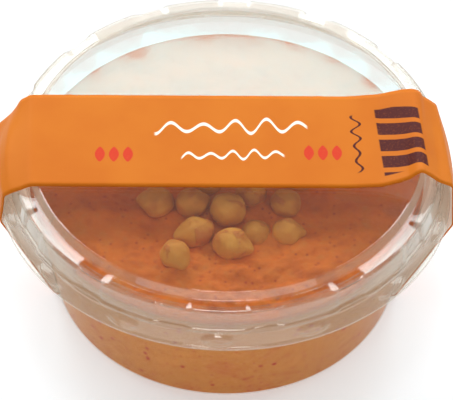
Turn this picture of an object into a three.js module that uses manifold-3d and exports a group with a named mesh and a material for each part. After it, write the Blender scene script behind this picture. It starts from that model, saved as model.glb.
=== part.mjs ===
// A shut retail pack of paprika hummus: a clear round tub filled with hummus, a heap of chickpeas
// on the hummus, a clear snap lid, and a card sleeve round the whole pack.
// Millimetres, +Z up. The front of the pack is -Y and the sleeve runs along X.

import * as THREE from "three";
import { mergeVertices } from "three/addons/utils/BufferGeometryUtils.js";
import Module from "manifold-3d";

const wasm = await Module();
wasm.setup();

// Heights. The sleeve's underside is at 0.
const CARD = 0.45; // thickness of the sleeve's card
const CLEARANCE = 0.3; // gap kept between neighbouring pieces
const BASE_Z = CARD + CLEARANCE; // underside of the tub
const PLATEAU_Z = 48.8; // top of the lid's raised rim, the datum that the rim sizes below hang from

// Tub
const TUB_WALL = 0.8;
const TUB_BASE_RADIUS = 45.5;
const TUB_FILLET = 3.0;
const TUB_NECK_RADIUS = 51.0; // outside of the wall, just under the rim
const TUB_NECK_DROP = 14.0; // below the plateau
const TUB_SEGMENTS = 60;

// Lid
const LID_SHEET = 0.6;
const LID_SEGMENTS = 90;
const LID_PANEL_RADIUS = 48.2; // flat middle of the lid
const LID_PANEL_DROP = 0.8; // below the plateau
const LID_EDGE_RADIUS = 59.5; // lip of the skirt
const LID_EDGE_DROP = 12.5;
const LUG_COUNT = 15; // pull bumps round the skirt
const LUG_PHASE = -2.2; // azimuth of the bump at the front, in degrees towards +X
const LUG_HEIGHT = 0.7;
const NOTCH_DEPTH = 0.45; // the short sectors between the bumps sit this much further in
const PRESS_DEPTH = 2.2; // how far the tight sleeve pushes the skirt in, on the right
const PRESS_AZIMUTH = 98; // degrees
const PRESS_SPREAD = 14; // degrees

// Hummus
const FILL_DROP = 11.0; // level at the wall, below the plateau
const FILL_RINGS = 10;
const FILL_SEGMENTS = 48;

// Chickpeas
const PEA_RADIUS = 4.7;
const PEA_SINK = 1.4; // how deep an upright pea sits in the hummus
const PEA_GAP = 0.2;

// Sleeve
const SLEEVE_HALF_WIDTH = 16.1;
const SLEEVE_BASE_HALF_WIDTH = 9.5;
const SLEEVE_MIDDLE_Y = 0.55;
const SLEEVE_BASE_FOLD_X = 45.2;
const SLEEVE_STRIPS = 6; // facets across the card

const rad = THREE.MathUtils.degToRad;

function finish(color, roughness, extra = {}) {
  return new THREE.MeshStandardMaterial({ color, roughness, metalness: 0, ...extra });
}

const clearPlastic = { transparent: true, opacity: 0.35 };

function gauss(value, spread) {
  return Math.exp(-0.5 * (value / spread) ** 2);
}

// A profile of [radius, height] pairs turned round the Z axis. The first facet edge is at the
// azimuth `start`, counted in degrees from -Y towards +X.
function turned(profile, segments, start = 0) {
  const points = profile.map(([r, z]) => new THREE.Vector2(r, z));
  return new THREE.LatheGeometry(points, segments, rad(start)).rotateX(Math.PI / 2);
}

// Moves every vertex of a geometry by a function of its position.
function reshaped(geometry, move) {
  const position = geometry.getAttribute("position");
  const vertex = new THREE.Vector3();
  for (let i = 0; i < position.count; i++) {
    vertex.fromBufferAttribute(position, i);
    move(vertex, i);
    position.setXYZ(i, vertex.x, vertex.y, vertex.z);
  }
  geometry.computeVertexNormals();
  return geometry;
}

function toSolid(geometry) {
  const bare = geometry.clone();
  bare.deleteAttribute("normal");
  bare.deleteAttribute("uv");
  const merged = mergeVertices(bare, 1e-5);
  const mesh = new wasm.Mesh({
    numProp: 3,
    vertProperties: new Float32Array(merged.getAttribute("position").array),
    triVerts: new Uint32Array(dropDegenerate(merged.getIndex().array)),
  });
  return new wasm.Manifold(mesh);
}

function dropDegenerate(index) {
  const kept = [];
  for (let i = 0; i < index.length; i += 3) {
    const [a, b, c] = [index[i], index[i + 1], index[i + 2]];
    if (a !== b && b !== c && c !== a) kept.push(a, b, c);
  }
  return kept;
}

function toGeometry(solid) {
  const mesh = solid.getMesh();
  const geometry = new THREE.BufferGeometry();
  const position = new THREE.BufferAttribute(new Float32Array(mesh.vertProperties), 3);
  geometry.setAttribute("position", position);
  geometry.setIndex(new THREE.BufferAttribute(new Uint32Array(mesh.triVerts), 1));
  geometry.computeVertexNormals();
  return geometry;
}

// Heights given as a drop below the plateau.
function under(drop) {
  return PLATEAU_Z - drop;
}

// Points of a quarter round from directly below its centre to directly beside it.
function quarterRound(centreR, centreZ, radius, steps) {
  const points = [];
  for (let i = 0; i <= steps; i++) {
    const angle = (i / steps) * (Math.PI / 2);
    points.push([centreR + radius * Math.sin(angle), centreZ - radius * Math.cos(angle)]);
  }
  return points;
}

// The wall runs straight from the base fillet to the neck. Above it the mouth widens into a
// rolled rim, open underneath, that the lid snaps over.
function makeTub() {
  const outerFillet = quarterRound(TUB_BASE_RADIUS - TUB_FILLET, BASE_Z + TUB_FILLET, TUB_FILLET, 3);
  const innerFillet = quarterRound(
    TUB_BASE_RADIUS - TUB_FILLET,
    BASE_Z + TUB_FILLET,
    TUB_FILLET - TUB_WALL,
    3,
  );
  const outside = [
    [0, BASE_Z],
    ...outerFillet,
    [TUB_NECK_RADIUS, under(TUB_NECK_DROP)],
    [51.4, under(12.9)],
    [51.9, under(7.4)],
    [52.9, under(4.2)],
    [53.6, under(4.5)],
    [54.3, under(8.3)],
    [55.2, under(10.4)],
  ];
  const inside = [
    [55.8, under(10.2)],
    [54.9, under(8.0)],
    [54.2, under(4.1)],
    [53.7, under(3.2)],
    [52.6, under(3.2)],
    [51.1, under(7.2)],
    [50.6, under(12.7)],
    [TUB_NECK_RADIUS - TUB_WALL, under(TUB_NECK_DROP)],
    ...innerFillet.reverse(),
    [0, BASE_Z + TUB_WALL],
  ];
  return turned([...outside, ...inside], TUB_SEGMENTS);
}

// Skirt of the lid, from the snap bead to the lip, as [radius, drop] of its outer face.
const SKIRT = [
  [56.5, 7.6],
  [57.2, 8.8],
  [57.9, 10.0],
  [58.6, 11.2],
  [LID_EDGE_RADIUS, LID_EDGE_DROP],
];

// How much a point of the skirt stands out, from the pull bumps, the notched sectors between
// them and the press of the sleeve. Drop is measured from the plateau.
function rimRelief(azimuth, drop, radius) {
  const period = 360 / LUG_COUNT;
  const offset = THREE.MathUtils.euclideanModulo(azimuth - LUG_PHASE + period / 2, period) - period / 2;
  const fromNotch = period / 2 - Math.abs(offset);
  const bump = LUG_HEIGHT * gauss(offset, 2.9) * gauss(drop - 10.2, 0.85);
  const onSlope = drop > 1.9 && drop < 8.4;
  const notch = onSlope && fromNotch < 4.5 ? NOTCH_DEPTH : 0;
  const fromPress = THREE.MathUtils.euclideanModulo(azimuth - PRESS_AZIMUTH + 180, 360) - 180;
  const reach = THREE.MathUtils.clamp((radius - 55.7) / (LID_EDGE_RADIUS - 55.7), 0, 1);
  return bump - notch - PRESS_DEPTH * gauss(fromPress, PRESS_SPREAD) * reach;
}

// A thin sheet: flat panel, low raised rim, ledge over the tub's rim, steep slope and a flared
// skirt with the bumps.
function makeLid() {
  const shoulder = [
    [LID_PANEL_RADIUS, LID_PANEL_DROP],
    [48.9, 0],
    [50.4, 0],
    [51.8, 1.8],
    [55.0, 2.0],
    [55.7, 2.5],
  ];
  const top = [[0, LID_PANEL_DROP], ...shoulder, ...SKIRT];
  const below = [
    [0, LID_PANEL_DROP + LID_SHEET],
    [LID_PANEL_RADIUS + 0.2, LID_PANEL_DROP + LID_SHEET],
    [49.1, LID_SHEET],
    [50.1, LID_SHEET],
    [51.5, 1.8 + LID_SHEET],
    [54.7, 2.0 + LID_SHEET],
    [55.1, 2.9],
    [55.9, 7.8],
    [56.7, 9.1],
    [57.4, 10.3],
    [58.1, 11.5],
    [58.9, LID_EDGE_DROP + 0.2],
  ];
  const profile = [...below, ...top.reverse()].map(([r, drop]) => [r, under(drop)]);
  return reshaped(turned(profile, LID_SEGMENTS, LUG_PHASE), (vertex) => {
    const radius = Math.hypot(vertex.x, vertex.y);
    const drop = PLATEAU_Z - vertex.z;
    if (radius < 54.9) return;
    const azimuth = THREE.MathUtils.radToDeg(Math.atan2(vertex.x, -vertex.y));
    const scale = (radius + rimRelief(azimuth, drop, radius)) / radius;
    vertex.x *= scale;
    vertex.y *= scale;
  });
}

// A long soft ridge of spread hummus along an arc about (x, y).
function ridge(px, py, { x, y, radius, heading, sweep, width, height }) {
  const distance = Math.hypot(px - x, py - y) - radius;
  const azimuth = THREE.MathUtils.radToDeg(Math.atan2(px - x, -(py - y)));
  const off = THREE.MathUtils.euclideanModulo(azimuth - heading + 180, 360) - 180;
  return height * gauss(distance, width) * gauss(off, sweep / 2);
}

const RIDGES = [
  { x: -6, y: 4, radius: 41, heading: 8, sweep: 62, width: 2.6, height: 1.7 },
  { x: 10, y: -6, radius: 30, heading: 48, sweep: 60, width: 2.8, height: 1.5 },
  { x: -8, y: 2, radius: 30, heading: -62, sweep: 70, width: 3.0, height: 1.4 },
  { x: 0, y: 0, radius: 38, heading: 150, sweep: 80, width: 3.2, height: 1.6 },
  { x: 4, y: 2, radius: 33, heading: -140, sweep: 80, width: 3.0, height: 1.4 },
];

// Waves left by the spreading spoon, as [wavelength, direction in degrees, height].
const WAVES = [
  [23, 25, 0.42],
  [15.5, 100, 0.34],
  [11.2, -38, 0.3],
  [8.3, 66, 0.2],
];

// Height of the hummus over its level at the wall.
function hummusRelief(x, y) {
  const radius = Math.hypot(x, y);
  const free = THREE.MathUtils.smoothstep(49.5 - radius, 0, 6);
  let height = 0.5 * gauss(radius, 24);
  for (const arc of RIDGES) height += ridge(x, y, arc);
  for (const [length, direction, amount] of WAVES) {
    const along = x * Math.cos(rad(direction)) + y * Math.sin(rad(direction));
    const bend = Math.sin((x - y) / 17) * 1.1;
    height += amount * Math.sin((2 * Math.PI * along) / length + bend);
  }
  return height * free;
}

function makeHummusCore() {
  const inset = CLEARANCE + TUB_WALL;
  const corner = quarterRound(
    TUB_BASE_RADIUS - TUB_FILLET,
    BASE_Z + TUB_FILLET,
    TUB_FILLET - inset,
    2,
  );
  const neckShare = (FILL_DROP - 7.2) / (12.7 - 7.2);
  const edgeRadius = THREE.MathUtils.lerp(51.1, 50.6, neckShare) - CLEARANCE;
  const profile = [
    [0, BASE_Z + inset],
    ...corner,
    [TUB_NECK_RADIUS - inset, under(TUB_NECK_DROP)],
    [50.6 - CLEARANCE, under(12.7)],
    [edgeRadius, under(FILL_DROP)],
  ];
  for (let ring = FILL_RINGS - 1; ring >= 0; ring--) {
    profile.push([(edgeRadius * ring) / FILL_RINGS, under(FILL_DROP)]);
  }
  return reshaped(turned(profile, FILL_SEGMENTS), (vertex) => {
    if (vertex.z > under(FILL_DROP) - 0.001) vertex.z += hummusRelief(vertex.x, vertex.y);
  });
}

// A cooked chickpea: a plump body with a beak at +X and a shallow cleft that runs back from it.
function makePea({ size, stretch }) {
  const body = new THREE.SphereGeometry(1, 10, 8).rotateX(Math.PI / 2);
  const beak = new THREE.Vector3(1, 0, 0.1).normalize();
  return reshaped(body, (vertex) => {
    const unit = vertex.clone().normalize();
    const fromBeak = unit.angleTo(beak);
    const lift = 0.34 * gauss(fromBeak, 0.3);
    const cleft = 0.09 * gauss(unit.y, 0.16) * THREE.MathUtils.smoothstep(unit.x, -0.3, 0.6);
    const reach = size * PEA_RADIUS * (1 + lift - cleft);
    vertex.set(unit.x * reach * stretch, unit.y * reach * 0.98, unit.z * reach * 0.9);
  });
}

// Chickpeas in the window between the sleeve and the front of the lid, where the heap shows.
// Heading is where the beak points, in degrees from -Y towards +X.
const FRONT_PEAS = [
  { x: 0.3, y: -16.2, size: 1.0, stretch: 1.0, heading: 205, sink: -0.5 },
  { x: -17.9, y: -13.0, size: 0.92, stretch: 1.0, heading: 250 },
  { x: -9.1, y: -13.7, size: 0.88, stretch: 0.98, heading: 120 },
  { x: -7.7, y: -23.1, size: 0.9, stretch: 1.1, heading: -80 },
  { x: -13.0, y: -31.2, size: 0.84, stretch: 1.0, heading: 32 },
  { x: 1.2, y: -27.2, size: 0.95, stretch: 1.05, heading: 75 },
  { x: 7.6, y: -21.6, size: 0.8, stretch: 1.05, heading: 60, sink: 2.0 },
  { x: 15.1, y: -12.9, size: 0.86, stretch: 1.0, heading: 200 },
  { x: 15.4, y: -22.0, size: 0.84, stretch: 1.0, heading: 100, sink: 1.2 },
  { x: 6.3, y: -9.4, size: 0.86, stretch: 1.0, heading: 150, sink: 0.6 },
];

// A repeatable run of numbers in 0..1 for the peas that the sleeve hides.
function seededRandom(seed) {
  let state = seed;
  return () => {
    state = (state * 48271) % 2147483647;
    return state / 2147483647;
  };
}

// The rest of the heap, under the sleeve: drawn at random, kept where nothing is in the way.
function hiddenPeas(count, taken) {
  const random = seededRandom(11);
  const peas = [];
  for (let attempt = 0; attempt < 4000 && peas.length < count; attempt++) {
    const pea = {
      x: THREE.MathUtils.lerp(-19, 20, random()),
      y: THREE.MathUtils.lerp(-6, 17, random()),
      size: THREE.MathUtils.lerp(0.84, 0.98, random()),
      stretch: THREE.MathUtils.lerp(0.98, 1.06, random()),
      heading: 360 * random(),
      sink: 0.8 * random(),
    };
    const near = (other) => Math.hypot(pea.x - other.x, pea.y - other.y) < 9.3;
    if (![...taken, ...peas].some(near)) peas.push(pea);
  }
  return peas;
}

function placedPea(pea, grow) {
  const geometry = makePea(pea);
  const radius = PEA_RADIUS * pea.size;
  const z = under(FILL_DROP) + hummusRelief(pea.x, pea.y) + radius * 0.9 - PEA_SINK - (pea.sink ?? 0);
  const factor = (radius + grow) / radius;
  geometry.scale(factor, factor, factor);
  geometry.rotateY(rad(12));
  geometry.rotateZ(rad(pea.heading - 90));
  geometry.translate(pea.x, pea.y, z);
  return toSolid(geometry);
}

// Each pea is trimmed where it presses on one already there, and the hummus where they sit.
function makeHeap() {
  const peas = [...FRONT_PEAS, ...hiddenPeas(9, FRONT_PEAS)];
  const solids = peas.map((pea) => placedPea(pea, 0));
  const grown = peas.map((pea) => placedPea(pea, PEA_GAP));
  const heap = solids.map((solid, i) => {
    const near = (j) => Math.hypot(peas[i].x - peas[j].x, peas[i].y - peas[j].y) < 3 * PEA_RADIUS;
    return grown.slice(0, i).reduce((rest, other, j) => (near(j) ? rest.subtract(other) : rest), solid);
  });
  const hummus = grown.reduce((rest, other) => rest.subtract(other), toSolid(makeHummusCore()));
  return { heap: heap.map(toGeometry), hummus: toGeometry(hummus) };
}

// The card's inner face, as stations round the pack. Each holds [x, drop] at the front edge, the
// middle and the back edge of the card. On the left the card folds down over the ledge and the
// skirt. On the right it is slack and stands up in a crease before it falls.
const SLEEVE_LEFT = [
  [[-57.8, 13.0], [-60.0, 13.2], [-59.6, 13.2]],
  [[-57.6, 11.0], [-59.9, 11.2], [-59.3, 10.4]],
  [[-57.2, 8.5], [-59.5, 9.0], [-57.9, 8.9]],
  [[-56.7, 3.6], [-58.4, 5.0], [-56.1, 6.8]],
  [[-54.9, 2.4], [-56.5, 1.9], [-54.7, 4.4]],
  [[-52.9, 1.4], [-54.0, 1.1], [-53.5, 1.7]],
  [[-50.0, -0.2], [-50.7, -0.2], [-51.0, -0.1]],
  [[-46.5, -0.2], [-46.5, -0.2], [-46.5, -0.2]],
];
const SLEEVE_RIGHT = [
  [[31.0, -0.3], [31.0, -0.3], [31.0, -0.3]],
  [[39.5, -0.9], [39.5, -0.9], [39.6, -1.3]],
  [[43.5, -2.4], [43.5, -2.2], [43.0, -2.4]],
  [[46.4, -3.8], [46.2, -3.4], [45.9, -3.2]],
  [[48.2, -5.7], [48.3, -4.6], [48.4, -3.3]],
  [[49.2, -6.4], [49.6, -4.6], [49.9, -2.5]],
  [[50.4, -5.8], [50.8, -3.4], [50.6, -0.7]],
  [[53.9, -2.7], [53.2, -1.0], [52.2, 0.4]],
  [[57.2, -1.1], [55.9, 0.5], [54.3, 2.3]],
  [[57.6, 5.0], [57.7, 6.0], [55.5, 7.0]],
  [[58.0, 13.0], [58.4, 13.2], [57.1, 13.2]],
];

// Straight run between two stations, ends left out.
function between(from, to, steps) {
  const run = [];
  for (let i = 1; i < steps; i++) {
    const mix = (a, b) => a.map((value, k) => THREE.MathUtils.lerp(value, b[k], i / steps));
    run.push(from.map((point, edge) => mix(point, to[edge])));
  }
  return run;
}

function sleeveStations() {
  const inner = PLATEAU_Z - CARD;
  const foot = (x, lift) => [0, 1, 2].map(() => [x, inner - lift]);
  const leftFoot = foot(-SLEEVE_BASE_FOLD_X, 0.4);
  const rightFoot = foot(SLEEVE_BASE_FOLD_X, 0.4);
  const leftFlat = foot(-SLEEVE_BASE_FOLD_X + 0.6, 0);
  const rightFlat = foot(SLEEVE_BASE_FOLD_X - 0.6, 0);
  return [
    leftFoot,
    ...between(leftFoot, SLEEVE_LEFT[0], 4),
    ...SLEEVE_LEFT,
    ...between(SLEEVE_LEFT.at(-1), SLEEVE_RIGHT[0], 4),
    ...SLEEVE_RIGHT,
    ...between(SLEEVE_RIGHT.at(-1), rightFoot, 4),
    rightFoot,
    rightFlat,
    ...between(rightFlat, leftFlat, 4),
    leftFlat,
  ];
}

// Half the card's width at a height: full over the lid, narrower down the sides to the base.
function sleeveHalfWidth(z) {
  const share = THREE.MathUtils.clamp(z / under(13), 0, 1);
  return THREE.MathUtils.lerp(SLEEVE_BASE_HALF_WIDTH, SLEEVE_HALF_WIDTH, share);
}

// A point of the card's inner face at a station, with side from -1 at the front to 1 at the back.
function cardPoint(station, side) {
  const [front, middle, back] = station.map(([x, drop]) => new THREE.Vector2(x, under(drop)));
  const tilt = back.clone().sub(front).multiplyScalar(side / 2);
  const bow = front.clone().add(back).addScaledVector(middle, -2).multiplyScalar(side ** 2 / 2);
  const { x, y: z } = middle.clone().add(tilt).add(bow);
  return new THREE.Vector3(x, SLEEVE_MIDDLE_Y + side * sleeveHalfWidth(z), z);
}

// The card is a closed band: a ring turned from a flat section, then laid along the stations.
function makeSleeve() {
  const stations = sleeveStations();
  const sides = [];
  for (let i = 0; i <= SLEEVE_STRIPS; i++) sides.push(1 - (2 * i) / SLEEVE_STRIPS);
  const section = [
    ...sides.map((side) => ({ side, lift: 0 })),
    ...sides.toReversed().map((side) => ({ side, lift: CARD })),
  ];
  section.push(section[0]);
  const outline = section.map(({ side, lift }) => [10 + lift, side]);
  return reshaped(turned(outline, stations.length), (vertex, index) => {
    const at = Math.floor(index / section.length) % stations.length;
    const { side, lift } = section[index % section.length];
    const here = cardPoint(stations[at], side);
    const before = cardPoint(stations.at(at - 1), side);
    const after = cardPoint(stations[(at + 1) % stations.length], side);
    const first = here.clone().sub(before).setY(0).normalize();
    const second = after.clone().sub(here).setY(0).normalize();
    const along = first.clone().add(second).normalize();
    const miter = lift / Math.max(along.dot(first), 0.5);
    vertex.set(here.x - along.z * miter, here.y, here.z + along.x * miter);
  });
}

function addMesh(group, name, geometry, material) {
  const mesh = new THREE.Mesh(geometry, material);
  mesh.name = name;
  group.add(mesh);
}

const pack = new THREE.Group();
const { heap, hummus } = makeHeap();
addMesh(pack, "tub", makeTub(), finish(0xe9e6df, 0.12, clearPlastic));
addMesh(pack, "hummus", hummus, finish(0xba6c34, 0.65));
heap.forEach((pea, i) => {
  const name = `chickpea_${String(i + 1).padStart(2, "0")}`;
  addMesh(pack, name, pea, finish(0xb98046, 0.55));
});
addMesh(pack, "lid", makeLid(), finish(0xf1efe9, 0.1, clearPlastic));
addMesh(pack, "sleeve", makeSleeve(), finish(0xe17f30, 0.5));

// The origin is the middle of the footprint, on the surface that the pack stands on.
pack.updateMatrixWorld(true);
const bounds = new THREE.Box3().setFromObject(pack);
pack.position.set(-(bounds.min.x + bounds.max.x) / 2, -(bounds.min.y + bounds.max.y) / 2, -bounds.min.z);

export default pack;
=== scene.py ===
"""A shut retail pack of paprika hummus: clear tub, snap lid, chickpeas on top and a card sleeve."""

import logging
import math
from dataclasses import dataclass, field
from enum import Enum
from typing import Any, Iterable, Sequence

import bmesh
import bpy
from mathutils import Matrix, Vector, noise


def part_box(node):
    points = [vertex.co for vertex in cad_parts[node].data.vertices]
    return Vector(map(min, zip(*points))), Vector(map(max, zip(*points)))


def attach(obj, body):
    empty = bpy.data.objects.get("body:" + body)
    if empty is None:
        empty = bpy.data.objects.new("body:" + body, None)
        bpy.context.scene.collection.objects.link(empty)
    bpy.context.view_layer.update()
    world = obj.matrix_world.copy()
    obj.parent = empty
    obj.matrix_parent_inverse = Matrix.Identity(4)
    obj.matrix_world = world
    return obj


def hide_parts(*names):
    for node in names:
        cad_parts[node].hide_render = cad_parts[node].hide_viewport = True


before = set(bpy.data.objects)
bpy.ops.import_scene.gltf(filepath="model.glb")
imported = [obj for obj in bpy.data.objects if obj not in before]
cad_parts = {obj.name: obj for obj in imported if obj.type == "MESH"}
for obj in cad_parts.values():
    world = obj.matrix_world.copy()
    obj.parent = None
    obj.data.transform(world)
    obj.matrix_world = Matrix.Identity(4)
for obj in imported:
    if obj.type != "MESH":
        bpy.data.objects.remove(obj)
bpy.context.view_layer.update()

LOG = logging.getLogger("hummus_pack")
MM = 0.001

CALM = (-4.0, 12.0)  # y in millimetres between which the hummus's top turns calmer
LEVEL = 11.0  # level of the hummus at the wall, in millimetres under the lid's top

Profile = list[tuple[float, float]]


class Slot(Enum):
    """Names of the record's material slots."""

    TUB = "tub_plastic"
    LID = "lid_plastic"
    HUMMUS = "hummus"
    CHICKPEA = "chickpea"
    SLEEVE = "sleeve_card"


def gauss(value: float, spread: float) -> float:
    """Bell curve of height 1.

    Args:
        value: distance from the middle.
        spread: standard deviation, in the same unit.

    Returns:
        The height at that distance.
    """
    return math.exp(-0.5 * (value / spread) ** 2)


def smoothstep(value: float, low: float, high: float) -> float:
    """Smooth rise from 0 at low to 1 at high.

    Args:
        value: where to read the rise.
        low: start of the rise.
        high: end of the rise.

    Returns:
        The height of the rise, 0 to 1.
    """
    share = straight(value, low, high)
    return share * share * (3.0 - 2.0 * share)


def straight(value: float, low: float, high: float) -> float:
    """Straight rise from 0 at low to 1 at high."""
    return min(max((value - low) / (high - low), 0.0), 1.0)


def wrapped(degrees: float, period: float = 360.0) -> float:
    """An angle brought to the half period on either side of 0.

    Args:
        degrees: the angle.
        period: the length after which it repeats.

    Returns:
        The same angle between -period / 2 and period / 2.
    """
    return (degrees + period / 2) % period - period / 2


class Wire:
    """A shader socket that Python's operators work on, adding a Math node for each."""

    def __init__(self, bench: "Bench", socket: bpy.types.NodeSocket) -> None:
        """Keeps the socket and the bench that adds nodes for it."""
        self.bench = bench
        self.socket = socket

    def _math(self, operation: str, *values: Any, clamp: bool = False) -> "Wire":
        """A Math node on these values."""
        settings = {"operation": operation, "use_clamp": clamp}
        return self.bench.add("ShaderNodeMath", settings, dict(enumerate(values)))

    def __add__(self, other: Any) -> "Wire":
        """self + other."""
        return self._math("ADD", self, other)

    __radd__ = __add__

    def __mul__(self, other: Any) -> "Wire":
        """self * other."""
        return self._math("MULTIPLY", self, other)

    __rmul__ = __mul__

    def __sub__(self, other: Any) -> "Wire":
        """self - other."""
        return self._math("SUBTRACT", self, other)

    def __rsub__(self, other: Any) -> "Wire":
        """other - self."""
        return self._math("SUBTRACT", other, self)

    def __pow__(self, other: Any) -> "Wire":
        """self to a power."""
        return self._math("POWER", self, other)

    def __abs__(self) -> "Wire":
        """Size of self without its sign."""
        return self._math("ABSOLUTE", self)

    def sin(self) -> "Wire":
        """Sine of self, in radians."""
        return self._math("SINE", self)

    def wrap(self, period: float) -> "Wire":
        """self brought to the range of one period about 0."""
        return self._math("WRAP", self, period / 2, -period / 2)

    def larger(self, other: Any) -> "Wire":
        """The larger of self and other."""
        return self._math("MAXIMUM", self, other)

    def clamped(self) -> "Wire":
        """self held between 0 and 1."""
        return self._math("ADD", self, 0.0, clamp=True)

    def ramp(self, low: float, high: float) -> "Wire":
        """Smooth rise from 0 where self is low to 1 where it is high."""
        settings = {"interpolation_type": "SMOOTHSTEP"}
        values = {"Value": self, "From Min": low, "From Max": high, "To Min": 0.0, "To Max": 1.0}
        return self.bench.add("ShaderNodeMapRange", settings, values)


@dataclass
class Bench:
    """Adds the nodes of one material.

    Attributes:
        material: the material under work.
    """

    material: bpy.types.Material

    @classmethod
    def named(cls, name: str) -> "Bench":
        """An empty node material of that name."""
        material = bpy.data.materials.new(name)
        material.use_nodes = True
        material.node_tree.nodes.clear()
        return cls(material)

    def node(self, kind: str, settings: dict[str, Any], values: dict[Any, Any]) -> bpy.types.Node:
        """One node of any kind.

        Args:
            kind: the node's type.
            settings: attributes set before the inputs.
            values: input name or number to a value or a wire.

        Returns:
            The node.
        """
        tree = self.material.node_tree
        node = tree.nodes.new(kind)
        for name, value in settings.items():
            setattr(node, name, value)
        for name, value in values.items():
            socket = node.inputs[name]
            if isinstance(value, Wire):
                tree.links.new(value.socket, socket)
            else:
                socket.default_value = value
        return node

    def add(self, kind: str, settings: dict[str, Any], values: dict[Any, Any], out: Any = 0) -> Wire:
        """The output `out` of a node that node() makes."""
        return Wire(self, self.node(kind, settings, values).outputs[out])

    def place(self) -> Wire:
        """The point's place in the row frame, in millimetres."""
        at = self.add("ShaderNodeTexCoord", {}, {}, "Object")
        return self.add("ShaderNodeVectorMath", {"operation": "SCALE"}, {0: at, "Scale": 1 / MM})

    def split(self, vector: Wire) -> tuple[Wire, Wire, Wire]:
        """The X, Y and Z of a vector."""
        node = self.node("ShaderNodeSeparateXYZ", {}, {0: vector})
        return tuple(Wire(self, socket) for socket in node.outputs)

    def clouds(self, at: Wire, size: float, detail: float = 3.0, warp: float = 0.0) -> Wire:
        """Noise of about 0 to 1 whose lumps are `size` millimetres across."""
        values = {"Vector": at, "Scale": 1 / size, "Detail": detail, "Distortion": warp}
        return self.add("ShaderNodeTexNoise", {}, values)

    def specks(self, at: Wire, spacing: float, radius: float) -> Wire:
        """Soft round specks on a loose grid: 1 in their middle and 0 outside."""
        values = {"Vector": at, "Scale": 1 / spacing, "Randomness": 1.0}
        away = self.add("ShaderNodeTexVoronoi", {"feature": "F1"}, values, "Distance")
        return 1.0 - (away * spacing).ramp(radius * 0.55, radius)

    def tinted(self, base: Any, over: Any, share: Wire) -> Wire:
        """The colour `base` covered by `over` by a share."""
        settings = {"data_type": "RGBA", "clamp_factor": True}
        return self.add("ShaderNodeMix", settings, {0: share, 6: base, 7: over}, 2)

    def bump(self, height: Wire, depth: float) -> Wire:
        """A normal from a height of 0 to 1 that is `depth` millimetres deep."""
        values = {"Strength": 1.0, "Distance": depth * MM, "Height": height}
        return self.add("ShaderNodeBump", {}, values)

    def blend(self, first: Wire, second: Wire, share: Any) -> Wire:
        """Two shaders mixed by a share of the second."""
        return self.add("ShaderNodeMixShader", {}, {0: share, 1: first, 2: second})

    def finished(self, surface: Wire) -> bpy.types.Material:
        """The material, with its surface wired up."""
        self.node("ShaderNodeOutputMaterial", {}, {"Surface": surface})
        return self.material

    def principled(self, values: dict[Any, Any]) -> bpy.types.Material:
        """The material, with these inputs on a Principled shader."""
        return self.finished(self.add("ShaderNodeBsdfPrincipled", {}, values))


Colour = tuple[float, float, float, float]


def srgb(red: int, green: int, blue: int) -> Colour:
    """A screen colour of 0 to 255 a channel as a linear one.

    Args:
        red: red channel.
        green: green channel.
        blue: blue channel.

    Returns:
        Linear red, green, blue and an alpha of 1.
    """
    shares = [channel / 255 for channel in (red, green, blue)]
    linear = [share / 12.92 if share <= 0.04045 else ((share + 0.055) / 1.055) ** 2.4 for share in shares]
    return (*linear, 1.0)


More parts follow.
